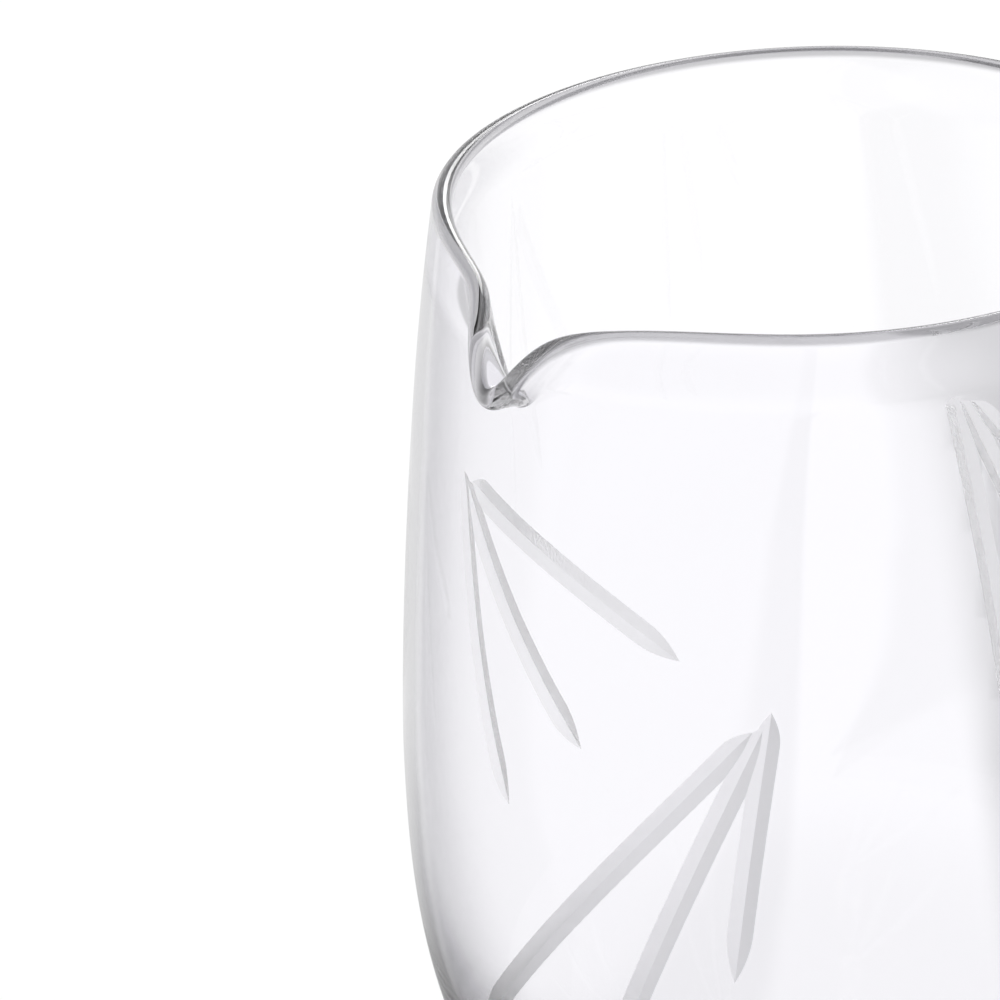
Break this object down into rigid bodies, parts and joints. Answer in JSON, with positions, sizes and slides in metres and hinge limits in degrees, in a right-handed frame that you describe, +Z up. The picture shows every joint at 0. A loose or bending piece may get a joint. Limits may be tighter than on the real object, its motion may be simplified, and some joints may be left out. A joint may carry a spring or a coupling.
{
  "type": "footed mixing glass",
  "caption": "Clear glass bowl with a pulled pour lip and fans of mitre cuts, on a short stem and a disc foot, for stirring and pouring mixed drinks.",
  "frame": {"origin": "centre of the foot's underside, on the surface that the glass stands on", "axes": "+Z up along the axis of the bowl; the pour lip points along -X"},
  "size_m": [0.088, 0.088, 0.1633],
  "materials": {
    "bowl_glass": "clear, fire polished, with satin mitre cuts",
    "stem_glass": "clear, fire polished",
    "foot_glass": "clear, fire polished"
  },
  "bodies": {
    "root": {"bowl": "bowl_glass", "stem": "stem_glass", "foot": "foot_glass"}
  },
  "joints": []
}
